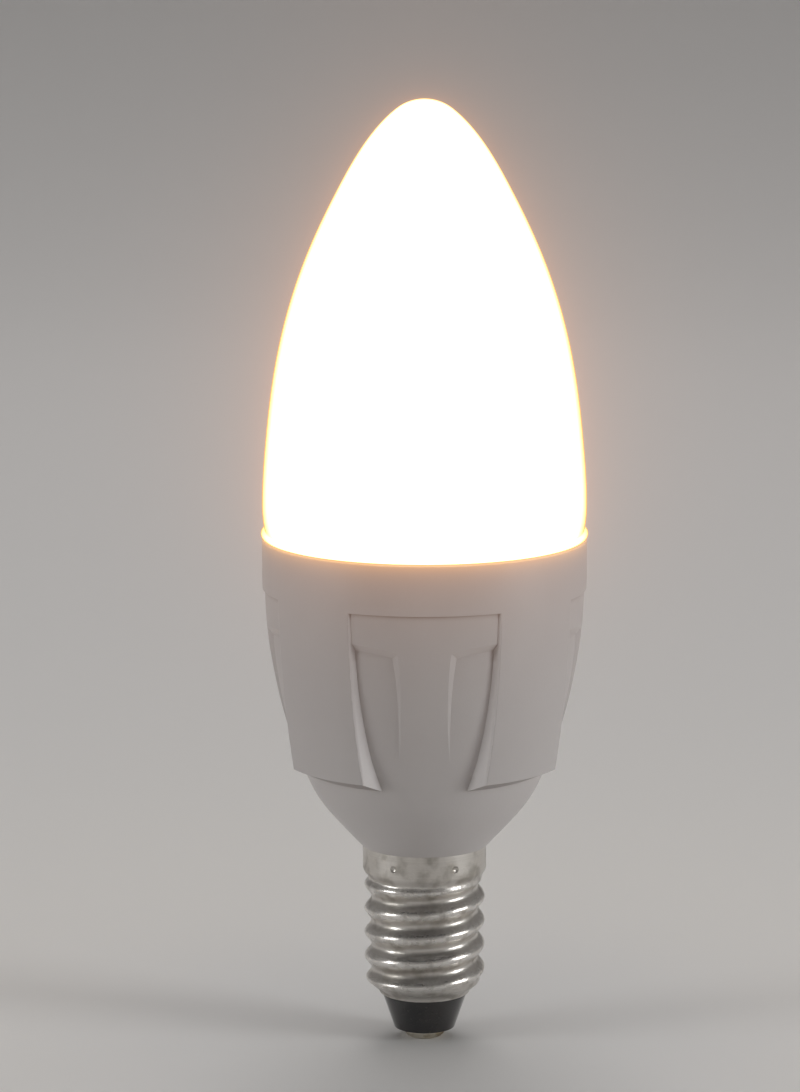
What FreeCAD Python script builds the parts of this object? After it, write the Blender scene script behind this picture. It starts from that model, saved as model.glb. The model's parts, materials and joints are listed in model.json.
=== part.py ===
import FreeCAD, Part
import math
import os

# Candle lamp with an opal cover, a finned plastic housing and a small screw cap.
# Millimetres, +Z up along the lamp's axis. The origin is the tip of the centre contact.
# The front, at -Y, looks straight into one of the four pockets of the housing.

# Fits between pieces that slip together
slip_fit = 0.05
press_in_gap = 0.1
board_slot_gap = 0.1
overcut = 1.0

# Centre contact: a rivet with a hollow shank that takes the live wire
contact_head_height = 1.2
contact_head_radius = 2.4
contact_dome_height = 0.72
contact_flat_radius = 1.5
contact_shank_radius = 0.95
contact_shank_length = 7.0
contact_bore_depth = 3.0

# Insulator between the centre contact and the screw shell
insulator_nose_radius = 3.5
insulator_cone_height = 4.2
insulator_flange_height = 2.4
insulator_flange_radius = 5.5
insulator_throat_below = 0.3
insulator_throat_above = 0.2

# Screw shell: sheet metal with a rolled round thread, 14 mm size
shell_height = 17.6
shell_thickness = 0.3
shell_lip_radius = 5.2
shell_curl_height = 1.6
thread_crest_radius = 6.945
thread_root_radius = 6.145
thread_pitch = 2.822
thread_runout_length = 1.2
thread_start_above_lip = 0.96
collar_radius = 7.1
collar_height = 3.4
stake_count = 6
stake_radius = 0.55
stake_depth = 0.18

# Housing, outside
shoulder_radius = 7.3
belt_radius = 18.5
belt_height = 5.75
belt_ramp_height = 1.0
bowl_step_width = 0.3
fin_step_width = 0.04
fin_middle_draw_in = 1.18
fin_hem_draw_in = 2.18
fin_middle_above_hem = 5.9
hem_above_shoulder = 10.2
hem_underside_slope = 0.45
housing_height = 35.75
rim_chamfer = 0.2
bowl_shape = [(0.101, 0.257), (0.192, 0.454), (0.343, 0.647), (0.522, 0.812), (0.687, 0.913)]

# Pockets between the fins, each with a raised T in its floor
pocket_count = 4
pocket_top_half_width = 8.36
pocket_hem_half_width = 6.8
pocket_wall_flare = 50.0
pocket_inner_share = 0.15
mouth_rounding = 0.3
groove_depth = 0.42
groove_middle_share = 0.55
groove_wall_flare = 45.0
groove_length = 12.4
crossbar_outer_height = 3.95
crossbar_inner_height = 4.9
stem_top_half_width = 3.55
stem_foot_half_width = 2.85

# Housing, inside
housing_wall = 2.2
neck_above_insulator = 1.8
neck_wall = 1.4
neck_collar_height = 3.0
belt_wall = 1.3
sink_ledge_width = 0.8
light_seat_depth = 1.75
skirt_foot_gap = 0.3
snap_depth = 1.25
snap_half_height = 0.4
snap_crest_half_height = 0.1
snap_ridge_width = 0.25
rail_width = 3.2
rail_grip_depth = 1.2
rail_foot_length = 1.5
rail_top_above_shoulder = 22.0
wire_notch_width = 1.0
wire_notch_height = 3.0
wire_notch_depth = 0.9

# Opal cover
cover_step_width = 0.03
cover_height = 49.75
cover_wall = 1.5
cover_belly_height = 3.65
cover_throat_depth = 0.27
cover_bead_width = 0.13
cover_bead_height = 0.9
cover_skirt_wall = 1.2
cover_nose_radius = 5.1
cover_nose_half_angle = 38.0
cover_shape = [(0.151, 0.979), (0.310, 0.932), (0.468, 0.848), (0.625, 0.714), (0.782, 0.527), (0.880, 0.385)]

# Heat sink: a pressed aluminium cup, upside down under the light board
sink_height = 7.6
sink_plate = 2.0
sink_wall = 1.2
sink_chamfer = 0.35
wire_hole_radius = 1.7
wire_hole_offset = 2.4

# Light board with its chips
light_board_inset = 1.3
light_board_thickness = 1.2
chip_count = 9
chip_ring_radius = 10.6
chip_length = 3.5
chip_width = 2.8
chip_height = 0.7
phosphor_rim = 0.4
phosphor_depth = 0.3
screw_offset = 6.5
screw_head_radius = 1.9
screw_head_height = 1.2
screw_head_rounding = 0.42
screw_shank_radius = 1.0
screw_slot_width = 0.5
screw_slot_depth = 0.5
solder_radius = 0.8

# Driver board, upright in the housing with its tail in the neck
driver_thickness = 1.0
driver_half_width = 10.5
driver_height = 16.0
driver_above_shoulder = 7.5
driver_tail_half_width = 3.4
driver_tail_above_neck_end = 4.4

# Parts on the driver board: places are across and up from the foot of its wide half,
# a can's size is its radius and length, and a block's is its width, depth and height
input_capacitor_size = (4.0, 12.0)
input_capacitor_place = (-4.6, 1.0)
output_capacitor_size = (3.15, 9.0)
output_capacitor_place = (5.0, 1.5)
can_rounding = 0.4
can_crimp_depth = 0.3
can_crimp_height = 1.5
can_vent_width = 0.2
can_vent_depth = 0.15
coil_turns = 10
coil_flange_radius = 4.0
coil_post_radius = 1.8
coil_length = 6.0
coil_flange_thickness = 1.0
coil_winding_radius = 3.5
coil_place = (-4.6, 9.4)
film_size = (7.2, 3.4, 5.0)
film_place = (4.9, 11.0)
film_rounding = 0.7
bridge_size = (4.7, 2.5, 3.9)
bridge_place = (4.6, 4.2)
chip_case_size = (4.9, 1.5, 3.9)
chip_case_place = (-4.6, 3.2)
diode_size = (4.3, 2.2, 2.6)
diode_place = (5.0, 13.6)
diode_tab_size = (5.5, 0.4, 1.4)
case_lift = 0.1
case_chamfer = 0.25
lead_length = 0.9
lead_width = 0.4
lead_thickness = 0.2
resistor_size = (3.2, 0.55, 1.6)
resistor_places = [(0.0, 3.0), (0.0, 6.0), (0.0, 9.0), (0.0, 12.0)]
fuse_radius = 1.15
fuse_rounding = 0.46
fuse_length = 6.5
fuse_above_tail_end = 4.0
fuse_lead_radius = 0.3
fuse_lead_length = 1.6

# Wires
light_wire_radius = 0.45
light_wire_bend = 1.0
light_wire_end = 5.2
light_wire_start_drop = 1.6
light_wire_inset = 0.3
cap_wire_radius = 0.35
cap_wire_bend = 1.2
cap_wire_start = 1.5
live_wire_straight = 2.4
live_wire_slant_height = 1.0
live_wire_end_gap = 0.2
return_wire_drop = 0.9
return_wire_end_gap = 0.3

# Radii that follow from the belt
bowl_radius = belt_radius - bowl_step_width
fin_top_radius = belt_radius - fin_step_width
fin_middle_radius = belt_radius - fin_middle_draw_in
fin_hem_radius = belt_radius - fin_hem_draw_in
cover_radius = belt_radius - cover_step_width
cover_throat_radius = cover_radius - cover_throat_depth
cover_bead_radius = belt_radius + cover_bead_width
cover_bore_radius = belt_radius - belt_wall
sink_bore_radius = cover_bore_radius - sink_ledge_width
sink_radius = sink_bore_radius - press_in_gap
light_board_radius = sink_radius - light_board_inset

# Heights that follow from the stack
insulator_base = contact_head_height
shell_base = insulator_base + insulator_cone_height
shoulder = shell_base + shell_height
hem = shoulder + hem_above_shoulder
seam = shoulder + housing_height
pocket_top = seam - belt_height
cover_tip = seam + cover_height
light_seat = seam - light_seat_depth
sink_foot = light_seat - sink_height
light_board_top = light_seat + light_board_thickness
driver_foot = shoulder + driver_above_shoulder
driver_top = driver_foot + driver_height
insulator_top = shell_base + insulator_flange_height
neck_end = insulator_top + neck_above_insulator
driver_tail_end = neck_end + driver_tail_above_neck_end
board_face = driver_thickness / 2
light_wire_line = board_face + light_wire_radius
cap_wire_line = board_face + cap_wire_radius
neck_radius = thread_root_radius - shell_thickness - press_in_gap
neck_bore_radius = neck_radius - neck_wall
far = 3 * belt_radius
tolerance = 1e-6

up = FreeCAD.Vector(0, 0, 1)
origin = FreeCAD.Vector(0, 0, 0)


def side_point(radius, height):
    """A point of an outline in the XZ plane."""
    return FreeCAD.Vector(radius, 0, height)


def turned(edges):
    """Solid turned about the lamp's axis from a closed outline."""
    return Part.Face(Part.Wire(edges)).revolve(origin, up, 360)


def turned_polygon(corners):
    """Solid turned from straight lines through (radius, height) corners."""
    points = [side_point(radius, height) for radius, height in corners]
    return turned(Part.makePolygon(points + points[:1]).Edges)


def cylinder(radius, low, high, x=0.0, y=0.0):
    return Part.makeCylinder(radius, high - low, FreeCAD.Vector(x, y, low))


def box(x_range, y_range, z_range):
    """Box between two corners, given as ranges."""
    low = FreeCAD.Vector(x_range[0], y_range[0], z_range[0])
    return Part.makeBox(x_range[1] - x_range[0], y_range[1] - y_range[0], z_range[1] - z_range[0], low)


def joined(pieces):
    """One solid from pieces that meet."""
    whole = pieces[0].multiFuse(pieces[1:]).removeSplitter()
    return whole.Solids[0] if len(whole.Solids) == 1 else whole


def copies_round(piece, count):
    """The piece repeated about the lamp's axis."""
    copies = []
    for number in range(count):
        copy = piece.copy()
        copy.rotate(origin, up, 360.0 * number / count)
        copies.append(copy)
    return copies


def smooth_curve(points, first_direction, last_direction):
    """Spline through outline points, with the direction set at both ends."""
    curve = Part.BSplineCurve()
    curve.interpolate(
        Points=[side_point(*point) for point in points],
        InitialTangent=side_point(*first_direction),
        FinalTangent=side_point(*last_direction),
    )
    return curve


def tangent_arc(start, direction, end):
    """Arc that leaves its start in a direction and reaches its end."""
    chord = end - start
    inward = (chord - direction * chord.dot(direction)).normalize()
    bend = chord.Length ** 2 / (2 * chord.dot(inward))
    centre = start + inward * bend
    to_middle = (start + end - centre * 2).normalize()
    return Part.Arc(start, centre + to_middle * bend, end).toShape()


def edges_at(shape, height):
    """The edges that lie flat at a height."""
    return [edge for edge in shape.Edges
            if edge.BoundBox.ZLength < tolerance and abs(edge.BoundBox.ZMin - height) < tolerance]


def inset_curve(curve, wall):
    """The same outline, moved towards the axis by a wall's thickness."""
    return Part.OffsetCurve(curve, wall, FreeCAD.Vector(0, 1, 0)).toBSpline()


def wire_along(points, bend, radius):
    """Round wire along straight runs with equal bends."""
    edges = []
    start = points[0]
    for here, after in zip(points[1:-1], points[2:]):
        inward = (here - start).normalize()
        outward = (after - here).normalize()
        half_turn = inward.getAngle(outward) / 2
        setback = bend * math.tan(half_turn)
        bend_start = here - inward * setback
        bend_end = here + outward * setback
        to_middle = (outward - inward).normalize()
        centre = here + to_middle * (bend / math.cos(half_turn))
        bend_middle = centre - to_middle * bend
        edges.append(Part.makeLine(start, bend_start))
        edges.append(Part.Arc(bend_start, bend_middle, bend_end).toShape())
        start = bend_end
    edges.append(Part.makeLine(start, points[-1]))
    path = Part.Wire(edges)
    section = Part.Wire(Part.makeCircle(radius, points[0], points[1] - points[0]))
    return path.makePipeShell([section], True, False)


def save(name, shape):
    shape.exportStep("parts/" + name + ".step")


# Centre contact

def centre_contact():
    shank_top = insulator_base + contact_shank_length
    flat_rim = side_point(contact_flat_radius, 0)
    dome_rim = side_point(contact_head_radius, contact_dome_height)
    head_rim = side_point(contact_head_radius, insulator_base)
    shank_foot = side_point(contact_shank_radius, insulator_base)
    shank_rim = side_point(contact_shank_radius, shank_top)
    edges = [
        Part.makeLine(origin, flat_rim),
        tangent_arc(flat_rim, side_point(1, 0), dome_rim),
        Part.makeLine(dome_rim, head_rim),
        Part.makeLine(head_rim, shank_foot),
        Part.makeLine(shank_foot, shank_rim),
        Part.makeLine(shank_rim, side_point(0, shank_top)),
        Part.makeLine(side_point(0, shank_top), origin),
    ]
    bore = cylinder(cap_wire_radius + slip_fit, shank_top - contact_bore_depth, shank_top + far)
    return turned(edges).cut(bore)


# Cap insulator

def cap_insulator():
    throat = shell_lip_radius - shell_thickness - slip_fit
    hole = contact_shank_radius + slip_fit
    return turned_polygon([
        (hole, insulator_base),
        (insulator_nose_radius, insulator_base),
        (throat, shell_base - insulator_throat_below),
        (throat, shell_base + insulator_throat_above),
        (insulator_flange_radius, shell_base + shell_curl_height),
        (insulator_flange_radius, insulator_top),
        (hole, insulator_top),
    ])


# Screw shell

def shell_radius(height, angle):
    """Outer radius of the sheet metal: curl, rolled thread, then the plain collar."""
    above = height - shell_base
    thread_middle = 0.5 * (thread_crest_radius + thread_root_radius)
    thread_wave = 0.5 * (thread_crest_radius - thread_root_radius)
    thread_top = shell_height - collar_height
    curl = eased(above / shell_curl_height)
    flare = eased((above - thread_top) / thread_runout_length + 0.5)
    mean = shell_lip_radius + (thread_middle - shell_lip_radius) * curl
    mean += (collar_radius - thread_middle) * flare
    run_in = eased((above - thread_start_above_lip) / thread_runout_length)
    run_out = 1 - eased((above - thread_top) / thread_runout_length + 1.0)
    turn = 2 * math.pi * above / thread_pitch - angle
    return mean + thread_wave * run_in * run_out * math.cos(turn)


def eased(share):
    """Smooth step from 0 to 1."""
    share = min(max(share, 0.0), 1.0)
    return share * share * (3 - 2 * share)


def rolled_face(thickness_in):
    """Face round the axis, inset from the outer sheet surface."""
    rings_per_turn = 10
    rings = math.ceil(shell_height / thread_pitch * rings_per_turn)
    columns = 32
    grid = []
    for ring in range(rings + 1):
        height = shell_base + shell_height * ring / rings
        row = []
        for column in range(columns + 1):
            angle = 2 * math.pi * (column % columns) / columns
            radius = shell_radius(height, angle) - thickness_in
            row.append(FreeCAD.Vector(radius * math.cos(angle), radius * math.sin(angle), height))
        grid.append(row)
    surface = Part.BSplineSurface()
    surface.interpolate(grid)
    return surface.toShape()


def screw_shell():
    outer = rolled_face(0.0)
    inner = rolled_face(shell_thickness)
    faces = [outer, inner]
    for height in (shell_base, shoulder):
        rims = [Part.Wire(edges_at(face, height)) for face in (outer, inner)]
        faces.append(Part.makeFace(rims, "Part::FaceMakerBullseye"))
    skin = Part.makeShell(faces)
    skin.sewShape()
    sheet = Part.makeSolid(skin)
    if sheet.Volume < 0:
        sheet.reverse()
    stake_height = shoulder - 0.5 * collar_height
    sink = collar_radius + stake_radius - stake_depth
    stake = Part.makeSphere(stake_radius, FreeCAD.Vector(sink, 0, stake_height))
    return sheet.cut(copies_round(stake, stake_count))


# Housing

def bowl_curve():
    """Outline of the round body between the fins, from the shoulder to the belt."""
    points = [(shoulder_radius, shoulder)]
    for height_share, radius_share in bowl_shape:
        radius = shoulder_radius + (bowl_radius - shoulder_radius) * radius_share
        points.append((radius, shoulder + (pocket_top - shoulder) * height_share))
    points.append((bowl_radius, pocket_top))
    return smooth_curve(points, (1.0, 1.05), (0.02, 1.0))


def bowl_solid(curve):
    """Solid under an outline curve, closed to the axis and up to the seam."""
    low = curve.StartPoint
    high = curve.EndPoint
    top = seam + overcut
    edges = [
        Part.makeLine(side_point(0, low.z), low),
        curve.toShape(),
        Part.makeLine(high, side_point(high.x, top)),
        Part.makeLine(side_point(high.x, top), side_point(0, top)),
        Part.makeLine(side_point(0, top), side_point(0, low.z)),
    ]
    return turned(edges)


def fin_arc():
    return Part.Arc(
        side_point(fin_hem_radius, hem),
        side_point(fin_middle_radius, hem + fin_middle_above_hem),
        side_point(fin_top_radius, pocket_top),
    )


def fin_solid():
    """The fins before the pockets are cut: a belt, and below it a curved skirt with a sloped hem."""
    root = shoulder_radius
    root_height = hem - hem_underside_slope * (fin_hem_radius - root)
    belt_foot = side_point(belt_radius, pocket_top + belt_ramp_height)
    belt_top = side_point(belt_radius, seam - rim_chamfer)
    rim = side_point(belt_radius - rim_chamfer, seam)
    edges = [
        Part.makeLine(side_point(0, root_height), side_point(root, root_height)),
        Part.makeLine(side_point(root, root_height), side_point(fin_hem_radius, hem)),
        fin_arc().toShape(),
        Part.makeLine(side_point(fin_top_radius, pocket_top), belt_foot),
        Part.makeLine(belt_foot, belt_top),
        Part.makeLine(belt_top, rim),
        Part.makeLine(rim, side_point(0, seam)),
        Part.makeLine(side_point(0, seam), side_point(0, root_height)),
    ]
    return turned(edges)


def slab_between(low_corners, high_corners, low, high):
    """Ruled solid between two flat polygons at two heights."""
    rims = []
    for corners, height in ((low_corners, low), (high_corners, high)):
        points = [FreeCAD.Vector(x, y, height) for x, y in corners]
        rims.append(Part.makePolygon(points + points[:1]))
    return Part.makeLoft(rims, True, True)


def pocket_section(half_width, radius):
    """Plan of a pocket, whose side walls flare outwards through the mouth corners."""
    mouth_depth = math.sqrt(radius * radius - half_width * half_width)
    flare = math.tan(math.radians(pocket_wall_flare))
    inner_half = pocket_inner_share * half_width
    inner = mouth_depth - (half_width - inner_half) / flare
    outer = belt_radius + overcut
    outer_half = half_width + flare * (outer - mouth_depth)
    return [(-inner_half, -inner), (inner_half, -inner), (outer_half, -outer), (-outer_half, -outer)]


def pocket_cutter():
    """Wedge that clears one pocket from below the hem up to the belt."""
    below = hem - hem_underside_slope * fin_hem_radius
    share = (hem - below) / (pocket_top - hem)
    low_width = pocket_hem_half_width - share * (pocket_top_half_width - pocket_hem_half_width)
    low_radius = fin_hem_radius - share * (fin_top_radius - fin_hem_radius)
    return slab_between(
        pocket_section(low_width, low_radius),
        pocket_section(pocket_top_half_width, fin_top_radius),
        below,
        pocket_top,
    )


def groove_pair(curve):
    """The two sunk panels that leave a raised T on a pocket's floor."""
    crossbar_foot = pocket_top - crossbar_outer_height
    stem_head = pocket_top - crossbar_inner_height
    groove_foot = stem_head - groove_length
    groove_middle = stem_head - groove_length / 2
    middle_depth = groove_middle_share * groove_depth
    flare = math.tan(math.radians(groove_wall_flare))
    floor_head = side_point(bowl_radius_at(curve, stem_head) - groove_depth, stem_head)
    floor_middle = side_point(bowl_radius_at(curve, groove_middle) - middle_depth, groove_middle)
    floor_foot = side_point(bowl_radius_at(curve, groove_foot), groove_foot)
    floor = turned([
        Part.makeLine(side_point(0, groove_foot), floor_foot),
        Part.Arc(floor_foot, floor_middle, floor_head).toShape(),
        Part.makeLine(floor_head, side_point(floor_head.x, seam)),
        Part.makeLine(side_point(floor_head.x, seam), side_point(0, seam)),
        Part.makeLine(side_point(0, seam), side_point(0, groove_foot)),
    ])
    wall_side = pocket_top_half_width + overcut
    corners = [
        (stem_top_half_width, stem_head, -1, 1),
        (wall_side, crossbar_foot, 0, 1),
        (wall_side, groove_foot, 0, 0),
        (stem_foot_half_width, groove_foot, -1, 0),
    ]
    rims = []
    for depth in (floor_foot.x - 3 * overcut, belt_radius + overcut):
        points = []
        for x, height, spread_across, spread_up in corners:
            floor_radius = floor_foot.x if height == groove_foot else floor_head.x
            spread = flare * (depth - math.sqrt(floor_radius * floor_radius - x * x))
            points.append(FreeCAD.Vector(x + spread_across * spread, -depth, height + spread_up * spread))
        rims.append(Part.makePolygon(points + points[:1]))
    panel = Part.makeLoft(rims, True, True).common(pocket_cutter()).cut(floor)
    return [panel, panel.mirror(origin, FreeCAD.Vector(1, 0, 0))]


def bowl_radius_at(curve, height):
    line = Part.LineSegment(side_point(0, height), side_point(far, height))
    return curve.intersect(line)[0].X


def snap_ring(radius, gap):
    """Disc with the ridge that holds the cover, grown by a gap where it is a groove."""
    middle = seam - snap_depth
    foot = snap_half_height + gap
    crest = snap_crest_half_height + gap
    crest_radius = radius + snap_ridge_width + gap
    return turned_polygon([
        (0, middle - foot), (radius, middle - foot), (crest_radius, middle - crest),
        (crest_radius, middle + crest), (radius, middle + foot), (0, middle + foot),
    ])


def housing_cavity(curve):
    """Everything hollow: bowl, neck bore, and the stepped bores under the cover."""
    bowl = bowl_solid(inset_curve(curve, housing_wall)).common(cylinder(far, 0, sink_foot))
    return joined([
        bowl,
        cylinder(neck_bore_radius, neck_end - overcut, shoulder + housing_wall + overcut),
        cylinder(sink_bore_radius, sink_foot, seam + overcut),
        cylinder(cover_bore_radius, light_seat - skirt_foot_gap, seam + overcut),
        snap_ring(cover_bore_radius, slip_fit),
    ])


def board_rails(body):
    """Two slotted ribs inside the bowl that hold the driver board by its edges."""
    rail_inner = driver_half_width - rail_grip_depth
    rail_foot = driver_foot - rail_foot_length
    rail_top = shoulder + rail_top_above_shoulder
    half_rail = rail_width / 2
    half_slot = board_face + board_slot_gap
    rails = []
    for side in (-1, 1):
        across = sorted((side * rail_inner, side * far))
        rail = box(across, (-half_rail, half_rail), (rail_foot, rail_top)).common(body)
        slot_across = sorted((side * (rail_inner - overcut), side * (driver_half_width + board_slot_gap)))
        rails.append(rail.cut(box(slot_across, (-half_slot, half_slot), (driver_foot, rail_top + overcut))))
    return rails


def mouth_edges(fins):
    """The long edges where a pocket's side walls meet the fins' outer face."""
    chosen = []
    for edge in fins.Edges:
        ends = [vertex.Point for vertex in edge.Vertexes]
        heights = sorted(point.z for point in ends)
        if len(ends) == 2 and abs(heights[0] - hem) < tolerance and abs(heights[1] - pocket_top) < tolerance:
            chosen.append(edge)
    return chosen


def housing():
    curve = bowl_curve()
    fins = fin_solid().cut(copies_round(pocket_cutter(), pocket_count))
    fins = fins.makeFillet(mouth_rounding, mouth_edges(fins))
    bowl = bowl_solid(curve).common(cylinder(far, 0, seam - rim_chamfer))
    neck = cylinder(neck_radius, neck_end, shoulder + overcut)
    collar_bore = collar_radius - shell_thickness - press_in_gap
    neck_collar = cylinder(collar_bore, shoulder - neck_collar_height, shoulder + overcut)
    outside = joined([fins, bowl, neck, neck_collar])
    grooves = []
    for number in range(pocket_count):
        for groove in groove_pair(curve):
            groove.rotate(origin, up, 360.0 * number / pocket_count)
            grooves.append(groove)
    outside = outside.cut(grooves)
    hollow = outside.cut(housing_cavity(curve))
    notch = box(
        (-wire_notch_width / 2, wire_notch_width / 2),
        (neck_radius - wire_notch_depth, far),
        (neck_end - overcut, neck_end + wire_notch_height),
    )
    return joined([hollow] + board_rails(outside)).cut(notch)


# Opal cover

def cover_curve():
    """Outline of the cover's side, from its belly up to where the round nose begins."""
    belly_height = seam + cover_belly_height
    points = [(cover_radius, belly_height)]
    for height_share, radius_share in cover_shape:
        points.append((cover_radius * radius_share, belly_height + (cover_tip - belly_height) * height_share))
    turn = math.radians(cover_nose_half_angle)
    points.append((cover_nose_radius * math.sin(turn), cover_tip - cover_nose_radius * (1 - math.cos(turn))))
    return smooth_curve(points, (0.0, 1.0), (-math.cos(turn), math.sin(turn)))


def nose_arc(start, radius, tip):
    """Arc over the nose, from the end of the side to the axis."""
    turn = math.radians(cover_nose_half_angle) / 2
    middle = side_point(radius * math.sin(turn), tip - radius * (1 - math.cos(turn)))
    return Part.Arc(start, middle, side_point(0, tip)).toShape()


def diffuser():
    bead_top = seam + cover_bead_height
    bead_middle = seam + cover_bead_height / 2
    bead_foot = side_point(cover_throat_radius, seam)
    throat = side_point(cover_throat_radius, bead_top)
    side = cover_curve()
    outside = turned([
        Part.makeLine(side_point(0, seam), bead_foot),
        Part.Arc(bead_foot, side_point(cover_bead_radius, bead_middle), throat).toShape(),
        tangent_arc(side.StartPoint, side_point(0, -1), throat),
        side.toShape(),
        nose_arc(side.EndPoint, cover_nose_radius, cover_tip),
        Part.makeLine(side_point(0, cover_tip), side_point(0, seam)),
    ])
    skirt_radius = cover_bore_radius - slip_fit
    skirt_bore = skirt_radius - cover_skirt_wall
    skirt = cylinder(skirt_radius, light_seat, bead_middle)
    inner = inset_curve(side, cover_wall)
    low = inner.StartPoint
    inner_tip = cover_tip - cover_wall
    below = light_seat - overcut
    inside = turned([
        Part.makeLine(side_point(0, below), side_point(skirt_bore, below)),
        Part.makeLine(side_point(skirt_bore, below), side_point(skirt_bore, bead_top)),
        Part.makeLine(side_point(skirt_bore, bead_top), side_point(low.x, bead_top)),
        Part.makeLine(side_point(low.x, bead_top), low),
        inner.toShape(),
        nose_arc(inner.EndPoint, cover_nose_radius - cover_wall, inner_tip),
        Part.makeLine(side_point(0, inner_tip), side_point(0, below)),
    ])
    return joined([outside, skirt, snap_ring(skirt_radius, 0)]).cut(inside)


# Heat sink and light board

def wire_holes(low, high):
    """Two holes for the wires that come up to the light board."""
    return [cylinder(wire_hole_radius, low, high, side * wire_hole_offset, -light_wire_line)
            for side in (-1, 1)]


def screw_holes(radius, low, high):
    return [cylinder(radius, low, high, 0, side * screw_offset) for side in (-1, 1)]


def heat_sink():
    cup = cylinder(sink_radius, sink_foot, light_seat)
    cup = cup.makeChamfer(sink_chamfer, edges_at(cup, light_seat))
    hollow = cylinder(sink_radius - sink_wall, sink_foot - overcut, light_seat - sink_plate)
    holes = wire_holes(sink_foot, seam) + screw_holes(screw_shank_radius + slip_fit, sink_foot, seam)
    return cup.cut([hollow] + holes)


def light_board():
    board = cylinder(light_board_radius, light_seat, light_board_top)
    holes = wire_holes(sink_foot, seam) + screw_holes(screw_shank_radius + slip_fit, sink_foot, seam)
    return board.cut(holes)


def chip_blank(inset, low, high):
    """One chip's block at the ring, or the smaller block inside its rim."""
    half_across = chip_width / 2 - inset
    half_along = chip_length / 2 - inset
    return box(
        (chip_ring_radius - half_across, chip_ring_radius + half_across),
        (-half_along, half_along),
        (low, high),
    )


def light_chips():
    top = light_board_top + chip_height
    dish = chip_blank(phosphor_rim, top - phosphor_depth, top + overcut)
    return Part.makeCompound(copies_round(chip_blank(0, light_board_top, top).cut(dish), chip_count))


def chip_phosphors():
    top = light_board_top + chip_height
    return Part.makeCompound(copies_round(chip_blank(phosphor_rim, top - phosphor_depth, top), chip_count))


def board_screws():
    head_top = light_board_top + screw_head_height
    slot_floor = head_top - screw_slot_depth
    half_slot = screw_slot_width / 2
    screws = []
    for side in (-1, 1):
        y = side * screw_offset
        head = cylinder(screw_head_radius, light_board_top, head_top, 0, y)
        head = head.makeFillet(screw_head_rounding, edges_at(head, head_top))
        shank = cylinder(screw_shank_radius, light_seat - sink_plate, slot_floor, 0, y)
        slot = box((-far, far), (y - half_slot, y + half_slot), (slot_floor, head_top + overcut))
        screws.append(joined([head, shank]).cut(slot))
    return Part.makeCompound(screws)


# Wires from the driver up to the light board, and their solder

def light_wire(side):
    level = light_board_top + light_wire_radius
    x = side * (wire_hole_offset - light_wire_inset)
    points = [
        FreeCAD.Vector(x, -light_wire_line, driver_top - light_wire_start_drop),
        FreeCAD.Vector(x, -light_wire_line, level),
        FreeCAD.Vector(side * light_wire_end, -light_wire_line, level),
    ]
    return wire_along(points, light_wire_bend, light_wire_radius)


def solder_joints():
    joints = []
    for side in (-1, 1):
        centre = FreeCAD.Vector(side * light_wire_end, -light_wire_line, light_board_top)
        ball = Part.makeSphere(solder_radius, centre)
        half = ball.common(cylinder(far, light_board_top, seam + far))
        joints.append(half.cut(light_wire(side)))
    return Part.makeCompound(joints)


# Driver board and the parts on it

def driver_board():
    faces = (-board_face, board_face)
    wide = box((-driver_half_width, driver_half_width), faces, (driver_foot, driver_top))
    tail = box((-driver_tail_half_width, driver_tail_half_width), faces, (driver_tail_end, driver_foot))
    return joined([wide, tail])


def on_front(place, size, lift=0.0):
    """Block on the front of the driver board, centred on a place."""
    width, depth, height = size
    near = -board_face - lift
    middle = driver_foot + place[1]
    return box((place[0] - width / 2, place[0] + width / 2), (near - depth, near),
               (middle - height / 2, middle + height / 2))


def on_back(place, size):
    """The same on the back of the board."""
    block = on_front((-place[0], place[1]), size)
    block.rotate(origin, up, 180)
    return block


def capacitor_can(radius, length, place):
    """Electrolytic can, upright against the back of the board."""
    x = place[0]
    y = board_face + radius
    low = driver_foot + place[1]
    high = low + length
    can = cylinder(radius, low, high, x, y)
    can = can.makeFillet(can_rounding, edges_at(can, low) + edges_at(can, high))
    crimp = Part.makeTorus(radius, can_crimp_depth, FreeCAD.Vector(x, y, low + can_crimp_height))
    half_vent = can_vent_width / 2
    vent = box(
        (x - 0.6 * radius, x + 0.6 * radius),
        (y - half_vent, y + half_vent),
        (high - can_vent_depth, high + overcut),
    )
    return can.cut([crimp, vent])


def coil_core():
    x = coil_place[0]
    z = driver_foot + coil_place[1]
    away = FreeCAD.Vector(0, -1, 0)
    base = FreeCAD.Vector(x, -board_face, z)
    lid = base + away * (coil_length - coil_flange_thickness)
    return joined([
        Part.makeCylinder(coil_flange_radius, coil_flange_thickness, base, away),
        Part.makeCylinder(coil_post_radius, coil_length, base, away),
        Part.makeCylinder(coil_flange_radius, coil_flange_thickness, lid, away),
    ])


def coil_winding():
    """Copper winding, with a ripple for its outer layer of turns."""
    x = coil_place[0]
    z = driver_foot + coil_place[1]
    start = board_face + coil_flange_thickness
    length = coil_length - 2 * coil_flange_thickness
    turn = length / coil_turns
    valley_radius = coil_winding_radius - turn / 4
    corners = [(coil_post_radius, start)]
    for number in range(coil_turns):
        corners.append((valley_radius, start + turn * number))
        corners.append((coil_winding_radius, start + turn * (number + 0.5)))
    corners.append((valley_radius, start + length))
    corners.append((coil_post_radius, start + length))
    winding = turned_polygon(corners)
    winding.rotate(origin, FreeCAD.Vector(1, 0, 0), 90)
    winding.translate(FreeCAD.Vector(x, 0, z))
    return winding


def edges_off_board(block):
    """The edges of a block's face that looks away from the driver board."""
    outermost = max(abs(block.BoundBox.YMin), abs(block.BoundBox.YMax))
    return [edge for edge in block.Edges
            if min(abs(edge.BoundBox.YMin), abs(edge.BoundBox.YMax)) > outermost - tolerance]


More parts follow.
